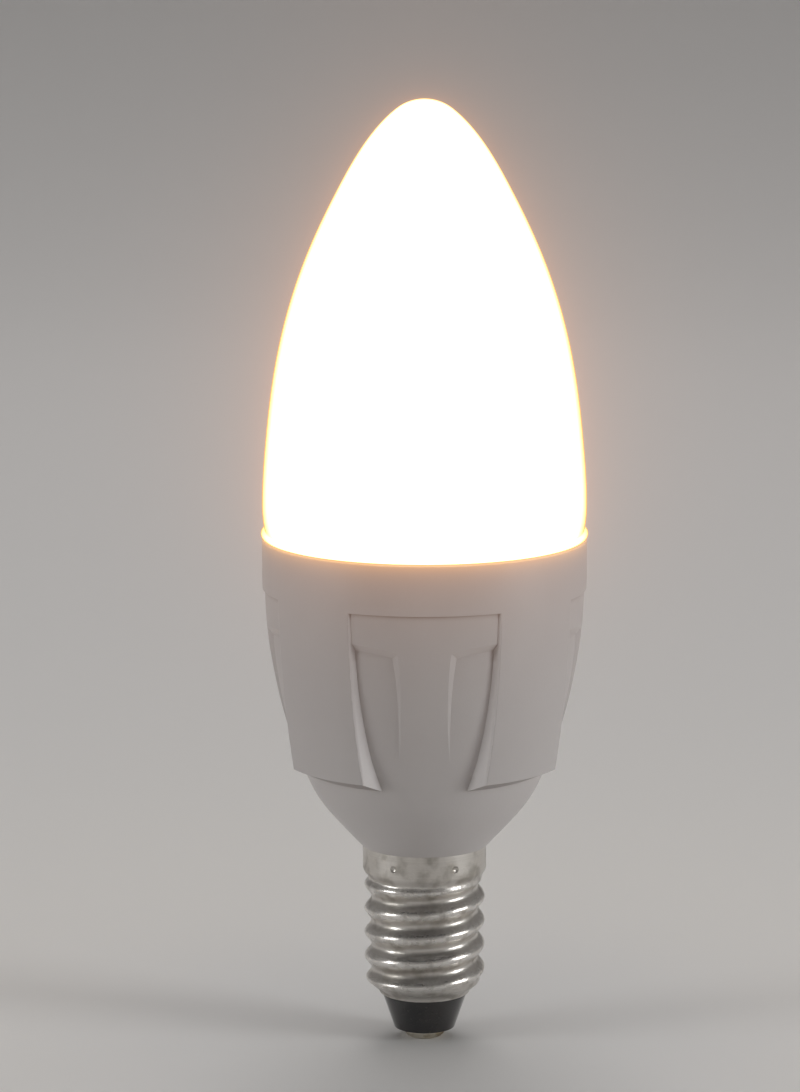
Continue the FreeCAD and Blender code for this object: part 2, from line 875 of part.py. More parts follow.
def leaded_case(place, size, lead_shares):
    """Flat case on the front of the board, with leads at both sides."""
    width, depth, height = size
    case = on_front(place, size, case_lift)
    case = case.makeChamfer(case_chamfer, edges_off_board(case))
    pieces = [case]
    for share in lead_shares:
        z = place[1] + share * height
        for side in (-1, 1):
            foot = place[0] + side * (width + lead_length) / 2
            knee = place[0] + side * width / 2
            pieces.append(on_front((foot, z), (lead_length, lead_thickness, lead_width)))
            pieces.append(on_front((knee, z), (2 * lead_thickness, depth / 2, lead_width)))
    return joined(pieces)


def film_capacitor():
    block = on_front(film_place, film_size)
    return block.makeFillet(film_rounding, edges_off_board(block))


def output_diode():
    block = on_back(diode_place, diode_size)
    block = block.makeChamfer(case_chamfer, edges_off_board(block))
    return joined([block, on_back(diode_place, diode_tab_size)])


def small_resistors():
    return Part.makeCompound([on_back(place, resistor_size) for place in resistor_places])


def fuse_resistor():
    """Axial body in front of the tail, with both leads bent into the board."""
    line = -(board_face + fuse_radius)
    low = driver_tail_end + fuse_above_tail_end
    high = low + fuse_length
    body = cylinder(fuse_radius, low, high, 0, line)
    body = body.makeFillet(fuse_rounding, edges_at(body, low) + edges_at(body, high))
    pieces = [body]
    for face, direction in ((low, -1), (high, 1)):
        start = face - direction * fuse_lead_radius
        end = face + direction * fuse_lead_length
        points = [
            FreeCAD.Vector(0, line, start),
            FreeCAD.Vector(0, line, end),
            FreeCAD.Vector(0, -board_face, end),
        ]
        pieces.append(wire_along(points, 2 * fuse_lead_radius, fuse_lead_radius))
    return joined(pieces)


def live_wire():
    """From the tail of the driver down into the hollow shank of the centre contact."""
    shank_top = insulator_base + contact_shank_length
    middle = shank_top + live_wire_straight
    points = [
        FreeCAD.Vector(0, -cap_wire_line, driver_tail_end + cap_wire_start),
        FreeCAD.Vector(0, -cap_wire_line, middle + live_wire_slant_height),
        FreeCAD.Vector(0, 0, middle),
        FreeCAD.Vector(0, 0, shank_top - contact_bore_depth + live_wire_end_gap),
    ]
    return wire_along(points, cap_wire_bend, cap_wire_radius)


def return_wire():
    """From the tail round the neck's lower rim and up its notch, where the shell pinches it."""
    below = neck_end - return_wire_drop
    outside = neck_radius - cap_wire_radius
    points = [
        FreeCAD.Vector(0, cap_wire_line, driver_tail_end + cap_wire_start),
        FreeCAD.Vector(0, cap_wire_line, below),
        FreeCAD.Vector(0, outside, below),
        FreeCAD.Vector(0, outside, neck_end + wire_notch_height - return_wire_end_gap),
    ]
    return wire_along(points, cap_wire_bend, cap_wire_radius)


pieces = {
    "diffuser": diffuser(),
    "housing": housing(),
    "heat_sink": heat_sink(),
    "light_board": light_board(),
    "light_chips": light_chips(),
    "chip_phosphors": chip_phosphors(),
    "board_screws": board_screws(),
    "positive_wire": light_wire(1),
    "negative_wire": light_wire(-1),
    "solder_joints": solder_joints(),
    "driver_board": driver_board(),
    "input_capacitor": capacitor_can(*input_capacitor_size, input_capacitor_place),
    "output_capacitor": capacitor_can(*output_capacitor_size, output_capacitor_place),
    "coil_core": coil_core(),
    "coil_winding": coil_winding(),
    "film_capacitor": film_capacitor(),
    "bridge_rectifier": leaded_case(bridge_place, bridge_size, (-0.3, 0.3)),
    "driver_chip": leaded_case(chip_case_place, chip_case_size, (-0.36, -0.12, 0.12, 0.36)),
    "output_diode": output_diode(),
    "small_resistors": small_resistors(),
    "fuse_resistor": fuse_resistor(),
    "live_wire": live_wire(),
    "return_wire": return_wire(),
    "screw_shell": screw_shell(),
    "cap_insulator": cap_insulator(),
    "centre_contact": centre_contact(),
}

for name, piece in pieces.items():
    save(name, piece)
    print(name, len(piece.Solids), piece.isValid(), round(piece.Volume, 2))
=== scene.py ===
import json
import math

import bmesh
import bpy
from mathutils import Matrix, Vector


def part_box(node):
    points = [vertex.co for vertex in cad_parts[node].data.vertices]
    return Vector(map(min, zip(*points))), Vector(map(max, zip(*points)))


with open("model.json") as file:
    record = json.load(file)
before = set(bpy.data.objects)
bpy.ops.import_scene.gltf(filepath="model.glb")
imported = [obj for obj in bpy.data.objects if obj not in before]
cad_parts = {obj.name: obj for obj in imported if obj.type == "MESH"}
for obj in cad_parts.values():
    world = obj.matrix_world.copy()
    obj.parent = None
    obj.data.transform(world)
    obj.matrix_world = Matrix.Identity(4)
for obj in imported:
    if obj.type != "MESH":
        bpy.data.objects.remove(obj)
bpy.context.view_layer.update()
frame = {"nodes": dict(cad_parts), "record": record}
nodes = frame["nodes"]
scene = bpy.context.scene

# Camera
# It stands 0.45 m in front of the lamp and looks down on it by nearly 9 degrees. The lamp's axis lies
# a little right of the picture's middle, and the picture is raised until the cap shows whole.

picture_height = 1092
focal_length_pixels = 4000
lamp_right_of_middle = 24.5
picture_raised_by = 92
look_down = math.radians(8.83)
film_height = 36
camera_place = (0, -0.4486, 0.1379)

lens = bpy.data.cameras.new("camera")
lens.sensor_fit = "VERTICAL"
lens.sensor_height = film_height
lens.lens = film_height * focal_length_pixels / picture_height
lens.shift_x = -lamp_right_of_middle / picture_height
lens.shift_y = -picture_raised_by / picture_height
lens.clip_start = 0.01
camera = bpy.data.objects.new("camera", lens)
camera.location = camera_place
camera.rotation_euler = (math.pi / 2 - look_down, 0, 0)
scene.collection.objects.link(camera)
scene.camera = camera

# Floor and backdrop
# A pale studio cove, round like a dish: a flat floor that turns up in a wide bend to a wall on every side.
# Its underside is clear, so the cap can be looked at from below.

flat_radius = 0.7
bend_radius = 1.4
wall_top = 2.2
bend_steps = 24
round_steps = 96

cove = bmesh.new()
centre = cove.verts.new((0, 0, 0))
bend_start = cove.verts.new((flat_radius, 0, 0))
cove.edges.new((centre, bend_start))
bend = bmesh.ops.spin(
    cove, geom=[bend_start], cent=(flat_radius, 0, bend_radius), axis=(0, -1, 0),
    angle=math.pi / 2, steps=bend_steps, use_duplicate=False,
)
bend_end = [item for item in bend["geom_last"] if isinstance(item, bmesh.types.BMVert)]
raised = bmesh.ops.extrude_vert_indiv(cove, verts=bend_end)
raised["verts"][0].co.z = wall_top
profile = cove.verts[:] + cove.edges[:]
bmesh.ops.spin(
    cove, geom=profile, cent=(0, 0, 0), axis=(0, 0, 1), angle=2 * math.pi, steps=round_steps, use_merge=True,
)
bmesh.ops.remove_doubles(cove, verts=cove.verts[:], dist=0.00001)
bmesh.ops.recalc_face_normals(cove, faces=cove.faces[:])
if min(cove.faces, key=lambda face: face.calc_center_median().z).normal.z < 0:
    bmesh.ops.reverse_faces(cove, faces=cove.faces[:])
floor_mesh = bpy.data.meshes.new("floor")
cove.to_mesh(floor_mesh)
cove.free()
floor_mesh.shade_smooth()
floor = bpy.data.objects.new("floor", floor_mesh)
scene.collection.objects.link(floor)

paper = bpy.data.materials.new("studio_paper")
paper.use_nodes = True
paper_tree = paper.node_tree
paper_shader = paper_tree.nodes["Principled BSDF"]
paper_shader.inputs["Base Color"].default_value = (0.86, 0.85, 0.84, 1)
paper_shader.inputs["Roughness"].default_value = 0.9
from_below = paper_tree.nodes.new("ShaderNodeNewGeometry")
clear = paper_tree.nodes.new("ShaderNodeBsdfTransparent")
one_sided = paper_tree.nodes.new("ShaderNodeMixShader")
paper_tree.links.new(from_below.outputs["Backfacing"], one_sided.inputs["Fac"])
paper_tree.links.new(paper_shader.outputs["BSDF"], one_sided.inputs[1])
paper_tree.links.new(clear.outputs["BSDF"], one_sided.inputs[2])
paper_tree.links.new(one_sided.outputs["Shader"], paper_tree.nodes["Material Output"].inputs["Surface"])
floor_mesh.materials.append(paper)

# Lights
# Soft lights at both sides, the right one stronger, in beams that stay off the floor beside them. A wide one
# overhead and one high behind whiten the floor. The side that faces the camera stays the darkest.

housing_middle = Vector((0, 0, 0.045))
cool_white = (0.985, 1.0, 0.995)
warm_white = (1.0, 0.98, 0.97)
sky_light = 0.01
sky_in_picture = 0.45


def soft_light(name, place, size, watts, colour, spread=180):
    """Square area light that looks at the housing and shines over an angle of so many degrees."""
    light = bpy.data.lights.new(name, "AREA")
    light.size = size
    light.energy = watts
    light.color = colour
    light.spread = math.radians(spread)
    stand = bpy.data.objects.new(name, light)
    stand.location = place
    stand.rotation_euler = (housing_middle - Vector(place)).to_track_quat("-Z", "Y").to_euler()
    scene.collection.objects.link(stand)


soft_light("light_right", (0.57, -0.21, 0.17), size=0.2, watts=0.395, colour=cool_white, spread=100)
soft_light("light_left", (-0.58, -0.19, 0.16), size=0.2, watts=0.262, colour=cool_white, spread=100)
soft_light("light_above", (0.0, 0.0, 2.6), size=2.0, watts=11.0, colour=warm_white)
soft_light("light_behind", (0.0, 0.6, 0.85), size=0.5, watts=1.9, colour=warm_white)

sky = bpy.data.worlds.new("soft_sky")
sky.use_nodes = True
sky_tree = sky.node_tree
sky_shader = sky_tree.nodes["Background"]
sky_shader.inputs["Color"].default_value = (1.0, 0.985, 0.97, 1)
seen = sky_tree.nodes.new("ShaderNodeLightPath")
sky_strength = sky_tree.nodes.new("ShaderNodeMix")
sky_strength.inputs["A"].default_value = sky_light
sky_strength.inputs["B"].default_value = sky_in_picture
sky_tree.links.new(seen.outputs["Is Camera Ray"], sky_strength.inputs["Factor"])
sky_tree.links.new(sky_strength.outputs["Result"], sky_shader.inputs["Strength"])
scene.world = sky
scene.view_settings.view_transform = "Standard"

# Glow
# The lit cover is far brighter than the picture can hold, so a warm haze spreads from it in the lens. It is
# added to the finished picture.

scene.use_nodes = True
picture_tree = scene.node_tree
picture_tree.nodes.clear()
rendered = picture_tree.nodes.new("CompositorNodeRLayers")
shown = picture_tree.nodes.new("CompositorNodeComposite")
haze = picture_tree.nodes.new("CompositorNodeGlare")
haze.glare_type = "BLOOM"
haze.quality = "HIGH"
haze.inputs["Threshold"].default_value = 1.2
haze.inputs["Strength"].default_value = 0.32
haze.inputs["Size"].default_value = 0.5
haze.inputs["Tint"].default_value = (1.0, 0.38, 0.07, 1)
picture_tree.links.new(rendered.outputs["Image"], haze.inputs["Image"])
picture_tree.links.new(haze.outputs["Image"], shown.inputs["Image"])

# Opal cover
# A dome of opal plastic, satin outside and lit warm white from inside. The plastic takes the blue out of
# light that leaves it at a slant, so the rim of the dome looks amber. The bead at its foot is thin and
# glows orange where it meets the housing.


def new_material(name):
    """A material with its node tree and its shader."""
    material = bpy.data.materials.new(name)
    material.use_nodes = True
    return material, material.node_tree, material.node_tree.nodes["Principled BSDF"]


def add_node(tree, kind, inputs, **settings):
    """Node of a kind, with each input set to a value or fed by a socket."""
    node = tree.nodes.new("ShaderNode" + kind)
    for name, value in settings.items():
        setattr(node, name, value)
    for name, value in inputs.items():
        if isinstance(value, bpy.types.NodeSocket):
            tree.links.new(value, node.inputs[name])
        else:
            node.inputs[name].default_value = value
    return node


def object_place(tree):
    """The point of the piece that is being coloured, in metres."""
    return add_node(tree, "TexCoord", {}).outputs["Object"]


def height_in(tree):
    """Height of that point."""
    return add_node(tree, "SeparateXYZ", {"Vector": object_place(tree)}).outputs["Z"]


def calculated(tree, operation, *values):
    """Result of one Math node."""
    return add_node(tree, "Math", dict(enumerate(values)), operation=operation).outputs[0]


def blended(tree, share, first, second, blend_type="MIX"):
    """Colour between two colours, which go into the sockets 6 and 7 of a Mix node."""
    colours = {"Factor": share, 6: first, 7: second}
    return add_node(tree, "Mix", colours, data_type="RGBA", blend_type=blend_type).outputs[2]


def colour_scale(tree, value, stops):
    """Colours that change with a value, from (value, colour) stops."""
    node = add_node(tree, "ValToRGB", {"Fac": value})
    elements = node.color_ramp.elements
    elements[0].position, elements[0].color = stops[0][0], (*stops[0][1], 1)
    elements[1].position, elements[1].color = stops[-1][0], (*stops[-1][1], 1)
    for place, colour in stops[1:-1]:
        elements.new(place).color = (*colour, 1)
    return node.outputs["Color"]


def noise(tree, scale, detail=2.0, stretch=(1, 1, 1)):
    """Noise of a scale per metre, which a stretch under 1 draws out along an axis."""
    mapping = add_node(tree, "Mapping", {"Vector": object_place(tree), "Scale": stretch})
    texture = {"Vector": mapping.outputs["Vector"], "Scale": scale, "Detail": detail}
    return add_node(tree, "TexNoise", texture).outputs["Fac"]


def bumped(tree, shader, height, depth):
    """Feeds the shader's normal from a height of some depth in metres."""
    bump = add_node(tree, "Bump", {"Height": height, "Distance": depth})
    tree.links.new(bump.outputs["Normal"], shader.inputs["Normal"])


def put_on(material, *names):
    """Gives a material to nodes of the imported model."""
    for name in names:
        nodes[name].material_slots[0].material = material


cover_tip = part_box("diffuser")[1].z
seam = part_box("housing")[1].z

opal, tree, shader = new_material("opal_cover")
whole_height = {"Value": height_in(tree), "From Min": seam, "From Max": cover_tip}
up_the_cover = add_node(tree, "MapRange", whole_height).outputs["Result"]
glow = colour_scale(tree, up_the_cover, [
    (0.0, (0.3, 0.25, 0.19)),
    (0.004, (0.9, 0.74, 0.5)),
    (0.014, (1.0, 0.85, 0.6)),
    (0.03, (1.0, 0.91, 0.72)),
    (0.12, (1.0, 0.93, 0.8)),
    (0.85, (1.0, 0.94, 0.82)),
    (1.0, (1.0, 0.91, 0.76)),
])
cloudy = colour_scale(tree, noise(tree, 60, 3), [(0.3, (0.95, 0.945, 0.93)), (0.7, (1.0, 1.0, 1.0))])
tree.links.new(blended(tree, 1.0, glow, cloudy, "MULTIPLY"), shader.inputs["Emission Color"])
body_colour = colour_scale(tree, noise(tree, 90, 3), [(0.3, (0.86, 0.83, 0.77)), (0.7, (0.9, 0.88, 0.83))])
tree.links.new(body_colour, shader.inputs["Base Color"])
satin = calculated(tree, "MULTIPLY_ADD", noise(tree, 400, 2), 0.1, 0.34)
tree.links.new(satin, shader.inputs["Roughness"])
bumped(tree, shader, noise(tree, 2500, 2), depth=0.00001)
shader.inputs["Emission Strength"].default_value = 5.0
shader.inputs["Coat Weight"].default_value = 1.0
shader.inputs["Coat Roughness"].default_value = 0.2
shader.inputs["Coat IOR"].default_value = 1.005
shader.inputs["Coat Tint"].default_value = (0.82, 0.77, 0.69, 1)
put_on(opal, "diffuser")

# Housing
# One moulding in white filled plastic with a satin skin. Light from the cover leaks into its rim and fades
# out within a few millimetres, painted on as a glow. Painted shade darkens corners and recesses, the floors
# of the pockets at their edges and the side walls a little, and painted light makes the outer walls of the
# pockets paler. Painted shade also darkens lines at the tops of the pockets and grooves and along the hem of
# the fins.


def rising(tree, value, low, high):
    """0 below the low value, 1 above the high one, and smooth between them."""
    node = add_node(tree, "MapRange", {"Value": value, "From Min": low, "From Max": high})
    node.interpolation_type = "SMOOTHSTEP"
    return node.outputs["Result"]


def falling(tree, value, low, high):
    """1 below the low value, 0 above the high one, and smooth between them."""
    return calculated(tree, "SUBTRACT", 1.0, rising(tree, value, low, high))


def new_group(name, values, results):
    """Node group with named inputs and outputs, and the sockets inside it that give and take them."""
    group = bpy.data.node_groups.new(name, "ShaderNodeTree")
    for direction, sockets in (("INPUT", values), ("OUTPUT", results)):
        for socket_name, kind in sockets.items():
            group.interface.new_socket(socket_name, in_out=direction, socket_type="NodeSocket" + kind)
    given = group.nodes.new("NodeGroupInput").outputs
    result = group.nodes.new("NodeGroupOutput").inputs
    return group, given, result


def group_noise(group, scale, detail):
    """Noise inside a group, of a scale that the group is given."""
    texture = {"Vector": object_place(group), "Scale": scale, "Detail": detail}
    return add_node(group, "TexNoise", texture).outputs["Fac"]


skin_results = {"Colour": "Color", "Roughness": "Float", "Height": "Float"}


def moulded_group():
    """Skin of moulded plastic: two tones in soft patches, and a fine grain."""
    group, given, result = new_group("moulded_skin", {
        "Colour": "Color",
        "Second Colour": "Color",
        "Roughness": "Float",
        "Patches per Metre": "Float",
        "Grains per Metre": "Float",
    }, skin_results)
    patches = rising(group, group_noise(group, given["Patches per Metre"], 3.0), 0.35, 0.65)
    grains = group_noise(group, given["Grains per Metre"], 2.0)
    uneven = calculated(group, "MULTIPLY_ADD", grains, 0.12, -0.06)
    group.links.new(blended(group, patches, given["Colour"], given["Second Colour"]), result["Colour"])
    group.links.new(calculated(group, "ADD", given["Roughness"], uneven), result["Roughness"])
    group.links.new(grains, result["Height"])
    return group


moulded = moulded_group()


def add_skin(tree, shader, group, depth, values):
    """Feeds a shader from a skin group whose grain is so many metres deep. Returns the colour."""
    skin = add_node(tree, "Group", values, node_tree=group).outputs
    tree.links.new(skin["Colour"], shader.inputs["Base Color"])
    tree.links.new(skin["Roughness"], shader.inputs["Roughness"])
    bumped(tree, shader, skin["Height"], depth)
    return skin["Colour"]


def moulded_material(name, colour, second_colour, roughness, patches, grains, depth):
    """Material of moulded plastic. Returns it with its tree, its shader and its colour."""
    material, tree, shader = new_material(name)
    colour = add_skin(tree, shader, moulded, depth, {
        "Colour": (*colour, 1),
        "Second Colour": (*second_colour, 1),
        "Roughness": roughness,
        "Patches per Metre": patches,
        "Grains per Metre": grains,
    })
    return material, tree, shader, colour


def band(tree, value, middle, half_width, softness):
    """1 where a value is within a band, and 0 outside it."""
    off = calculated(tree, "ABSOLUTE", calculated(tree, "SUBTRACT", value, middle))
    return falling(tree, off, half_width, half_width + softness)


def around(tree, centre):
    """Distance from an upright line through a point, the turn about it from 0 to 1, and the height on it."""
    shift = [-value for value in centre]
    mapping = add_node(tree, "Mapping", {"Vector": object_place(tree), "Location": shift})
    parts = add_node(tree, "SeparateXYZ", {"Vector": mapping.outputs["Vector"]}).outputs
    first, second = parts["X"], parts["Y"]
    squares = calculated(tree, "MULTIPLY_ADD", first, first, calculated(tree, "MULTIPLY", second, second))
    angle = calculated(tree, "ARCTAN2", second, first)
    turn = calculated(tree, "MULTIPLY_ADD", angle, 0.5 / math.pi, 0.5)
    return calculated(tree, "SQRT", squares), turn, parts["Z"]


leak_length = 0.0008
leak_colour = (0.25, 0.115, 0.01, 1)
corner_reach = 0.0009
corner_shade = [(0.25, (0.56, 0.515, 0.5)), (0.8, (1.0, 1.0, 1.0))]
corner_openness = (0.78, 1.0)
side_wall_facing = (0.42, 0.6)
outer_wall_facing = (-0.3, -0.45)
underside_tilt = (-0.5, -0.8)
side_wall_painted_shade = (0.94, 0.94, 0.94, 1)
outer_wall_painted_light = (1.28, 1.29, 1.3, 1)
# Painted shade: the dark colour of the shaded lines, and how much of it goes into corners and onto
# undersides at three heights below the seam.
painted_edge_colour = (0.27, 0.235, 0.225, 1)
pocket_count = 4
pocket_top = {"drop": 0.00575, "half_width": 0.0003, "softness": 0.0005, "corner": 0.42, "underside": 0.42}
groove_top = {"drop": 0.0102, "half_width": 0.0007, "softness": 0.0006, "corner": 0.3, "underside": 0.45}
fin_hem = {"drop": 0.0262, "half_width": 0.0011, "softness": 0.0006, "corner": 0.25, "underside": 0.74}

housing_plastic, tree, shader, skin_colour = moulded_material(
    "housing_plastic", colour=(0.54, 0.514, 0.508), second_colour=(0.52, 0.49, 0.486),
    roughness=0.42, patches=45, grains=3500, depth=0.000012,
)
surface = add_node(tree, "TexCoord", {}).outputs
sideways = add_node(tree, "VectorMath", {0: (0, 0, 1), 1: surface["Object"]}, operation="CROSS_PRODUCT")
sideways = add_node(tree, "VectorMath", {0: sideways.outputs["Vector"]}, operation="NORMALIZE")
both = {0: sideways.outputs["Vector"], 1: surface["Normal"]}
facing = add_node(tree, "VectorMath", both, operation="DOT_PRODUCT").outputs["Value"]
turn = around(tree, (0, 0, 0))[1]
side_of_pocket = calculated(tree, "SINE", calculated(tree, "MULTIPLY", turn, 2 * math.pi * pocket_count))
side_wall = rising(tree, calculated(tree, "ABSOLUTE", facing), *side_wall_facing)
outer_wall = rising(tree, calculated(tree, "MULTIPLY", facing, side_of_pocket), *outer_wall_facing)

# Painted shade: ambient occlusion darkens the colour in corners and recesses. The side walls get a flat
# painted shade in its place, and the outer walls of the pockets get a painted lightening.
corners = add_node(tree, "AmbientOcclusion", {"Distance": corner_reach}, samples=8).outputs["AO"]
shade = colour_scale(tree, corners, corner_shade)
shade = blended(tree, side_wall, shade, side_wall_painted_shade)
shade = blended(tree, outer_wall, shade, outer_wall_painted_light)
shaded = blended(tree, 1.0, skin_colour, shade, "MULTIPLY")

# Painted shade: dark lines in the corners and on the downward faces at the tops of the pockets and grooves
# and along the hem of the fins.
in_corner = falling(tree, corners, *corner_openness)
upwards = add_node(tree, "SeparateXYZ", {"Vector": surface["Normal"]}).outputs["Z"]
underside = rising(tree, upwards, *underside_tilt)
below_seam = calculated(tree, "SUBTRACT", seam, height_in(tree))
edges = 0.0
for edge in (pocket_top, groove_top, fin_hem):
    at_height = band(tree, below_seam, edge["drop"], edge["half_width"], edge["softness"])
    corner_share = calculated(tree, "MULTIPLY", in_corner, edge["corner"])
    underside_share = calculated(tree, "MULTIPLY", underside, edge["underside"])
    in_shade = calculated(tree, "MAXIMUM", corner_share, underside_share)
    edges = calculated(tree, "MAXIMUM", edges, calculated(tree, "MULTIPLY", at_height, in_shade))
tree.links.new(blended(tree, edges, shaded, painted_edge_colour), shader.inputs["Base Color"])

# Painted glow: the light that leaks from the cover into the rim is painted as emission on the housing, and
# it fades with the depth below the seam.
fading = calculated(tree, "EXPONENT", calculated(tree, "DIVIDE", below_seam, -leak_length))
tree.links.new(blended(tree, fading, (0, 0, 0, 1), leak_colour), shader.inputs["Emission Color"])
shader.inputs["Emission Strength"].default_value = 1.0
put_on(housing_plastic, "housing")

# Screw shell
# Thin brass sheet, nickel plated and rolled into a round thread, with a plain collar above it. The crests
# are rubbed bright by screwing the lamp in and out, and a dull film stays in the valleys.


def metal_group():
    """Skin of bare metal: dull patches, places worn bright, and fine lines."""
    group, given, result = new_group("worn_metal", {
        "Colour": "Color",
        "Dull Colour": "Color",
        "Bright Colour": "Color",
        "Roughness": "Float",
        "Patches per Metre": "Float",
        "Wear": "Float",
        "Lines": "Float",
    }, skin_results)
    patches = rising(group, group_noise(group, given["Patches per Metre"], 4.0), 0.42, 0.7)
    unworn = calculated(group, "SUBTRACT", 1.0, given["Wear"])
    dull = calculated(group, "MULTIPLY", patches, unworn)
    colour = blended(group, dull, given["Colour"], given["Dull Colour"])
    colour = blended(group, given["Wear"], colour, given["Bright Colour"])
    line_shade = calculated(group, "MULTIPLY_ADD", given["Lines"], 0.24, 0.88)
    group.links.new(blended(group, 1.0, colour, line_shade, "MULTIPLY"), result["Colour"])
    rough = calculated(group, "MULTIPLY_ADD", dull, 0.16, given["Roughness"])
    rough = calculated(group, "MULTIPLY_ADD", given["Lines"], 0.12, rough)
    group.links.new(calculated(group, "MULTIPLY_ADD", given["Wear"], -0.06, rough), result["Roughness"])
    group.links.new(given["Lines"], result["Height"])
    return group


worn_metal = metal_group()


def metal_skin(tree, shader, colour, dull, bright, roughness, patches, wear, lines, depth):
    """Puts bare metal on a shader."""
    shader.inputs["Metallic"].default_value = 1.0
    add_skin(tree, shader, worn_metal, depth, {
        "Colour": (*colour, 1),
        "Dull Colour": (*dull, 1),
        "Bright Colour": (*bright, 1),
        "Roughness": roughness,
        "Patches per Metre": patches,
        "Wear": wear,
        "Lines": lines,
    })


def turned_lines(tree, distance, height, scale):
    """Fine lines that run round an axis, as turning, rolling or rubbing leaves them."""
    place = add_node(tree, "CombineXYZ", {"X": distance, "Z": height}).outputs["Vector"]
    return add_node(tree, "TexNoise", {"Vector": place, "Scale": scale, "Detail": 3.0}).outputs["Fac"]


crest_radius = frame["record"]["mounts"][0]["dims"]["r_mm"] / 1000
valley_radius = crest_radius - 0.0006
collar_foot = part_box("screw_shell")[1].z - 0.0034

shell_nickel, tree, shader = new_material("shell_nickel")
distance, _, height = around(tree, (0, 0, 0))
below_collar = falling(tree, height, collar_foot - 0.0006, collar_foot)
crest_wear = calculated(tree, "MULTIPLY", rising(tree, distance, valley_radius, crest_radius), below_collar)
rubbed = calculated(tree, "MULTIPLY", crest_wear, rising(tree, noise(tree, 900, 3), 0.3, 0.6))
metal_skin(
    tree, shader, colour=(0.66, 0.635, 0.6), dull=(0.4, 0.375, 0.34), bright=(0.83, 0.81, 0.78),
    roughness=0.24, patches=420, wear=rubbed,
    lines=turned_lines(tree, distance, height, 14000), depth=0.000012,
)
put_on(shell_nickel, "screw_shell")

# Cap insulator
# A cone of black glass-like insulator, moulded in the foot of the shell. It is glossy, with flow marks and
# small flecks in it.

cap_insulation, tree, shader, skin_colour = moulded_material(
    "cap_insulation", colour=(0.012, 0.012, 0.014), second_colour=(0.02, 0.018, 0.018),
    roughness=0.2, patches=260, grains=5000, depth=0.00001,
)
flecks = rising(tree, noise(tree, 3800, 1), 0.68, 0.74)
tree.links.new(blended(tree, flecks, skin_colour, (0.055, 0.05, 0.045, 1)), shader.inputs["Base Color"])
shader.inputs["Coat Weight"].default_value = 0.5
shader.inputs["Coat Roughness"].default_value = 0.08
put_on(cap_insulation, "cap_insulator")

# Centre contact
# A brass rivet, nickel plated, with a turned head. Its flat is rubbed bright in use, and the plating is
# tarnished round it.

rubbed_radius = 0.0016

contact_metal, tree, shader = new_material("contact_metal")
distance, _, height = around(tree, (0, 0, 0))
rubbed = falling(tree, distance, rubbed_radius - 0.0006, rubbed_radius)
metal_skin(
    tree, shader, colour=(0.62, 0.58, 0.5), dull=(0.4, 0.33, 0.23), bright=(0.82, 0.79, 0.74),
    roughness=0.26, patches=700, wear=rubbed,
    lines=turned_lines(tree, distance, height, 11000), depth=0.00001,
)
put_on(contact_metal, "centre_contact")

# Heat sink
# A cup drawn from aluminium sheet and pressed into the housing, where it takes the warmth of the light
# board. Drawing leaves fine lines down its wall.

sink_aluminium, tree, shader = new_material("sink_aluminium")
metal_skin(
    tree, shader, colour=(0.78, 0.79, 0.8), dull=(0.62, 0.63, 0.64), bright=(0.88, 0.88, 0.89),
    roughness=0.34, patches=180, wear=rising(tree, noise(tree, 60, 2), 0.55, 0.75),
    lines=noise(tree, 5200, 3, (1, 1, 0.04)), depth=0.000015,
)
put_on(sink_aluminium, "heat_sink")

# Light board
# A disc of aluminium with white solder mask on its upper face. A ring of copper under the mask joins the
# chips and shows as a faint raised band. The two solder pads and the edge of the disc are bare metal.


def show_metal(tree, shader, share, colour, roughness):
    """Shows bare metal on a share of a surface that has its colour and roughness already."""
    for name, value in (("Base Color", (*colour, 1)), ("Roughness", roughness)):
        covered = shader.inputs[name].links[0].from_socket
        if name == "Base Color":
            mixed = blended(tree, share, covered, value)
        else:
            mixed = add_node(tree, "Mix", {"Factor": share, 2: covered, 3: value}).outputs[0]
        tree.links.new(mixed, shader.inputs[name])
    tree.links.new(share, shader.inputs["Metallic"])


bare_aluminium = (0.8, 0.81, 0.82)
tin = (0.78, 0.77, 0.75)
chip_count = 9
chip_ring_radius = 0.0106
trace_half_width = 0.0016
mask_thickness = 0.00012
board_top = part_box("light_board")[1].z
pad_radius = 0.0011
joint_offset = 0.0052
joint_line = -0.00095
cut_blur = 0.00004

light_board_mask, tree, shader, skin_colour = moulded_material(
    "light_board_mask", colour=(0.86, 0.86, 0.84), second_colour=(0.83, 0.83, 0.8),
    roughness=0.36, patches=240, grains=5200, depth=0.000006,
)
distance, turn, height = around(tree, (0, 0, 0))
steps = calculated(tree, "FRACT", calculated(tree, "MULTIPLY", turn, chip_count))
gap_under_chip = band(tree, steps, 0.5, 0.03, 0.01)
ring = band(tree, distance, chip_ring_radius, trace_half_width, 0.00008)
trace = calculated(tree, "MULTIPLY", ring, calculated(tree, "SUBTRACT", 1.0, gap_under_chip))
tree.links.new(blended(tree, trace, skin_colour, (0.93, 0.92, 0.88, 1)), shader.inputs["Base Color"])
bumped(tree, shader, trace, 0.00004)
core_top = board_top - mask_thickness
bare = falling(tree, height, core_top, core_top + cut_blur)
for side in (-1, 1):
    from_joint = around(tree, (side * joint_offset, joint_line, 0))[0]
    pad = falling(tree, from_joint, pad_radius, pad_radius + 0.00006)
    bare = calculated(tree, "MAXIMUM", bare, pad)
show_metal(tree, shader, bare, bare_aluminium, roughness=0.32)
put_on(light_board_mask, "light_board")

# Light chips
# Nine small cases of white plastic on the light board. Each has a well filled with silicone and yellow
# phosphor, which is grainy and glows while the lamp is lit.

chip_case = moulded_material(
    "chip_case", colour=(0.86, 0.85, 0.8), second_colour=(0.81, 0.8, 0.74),
    roughness=0.4, patches=900, grains=9000, depth=0.000006,
)[0]
put_on(chip_case, "light_chips")

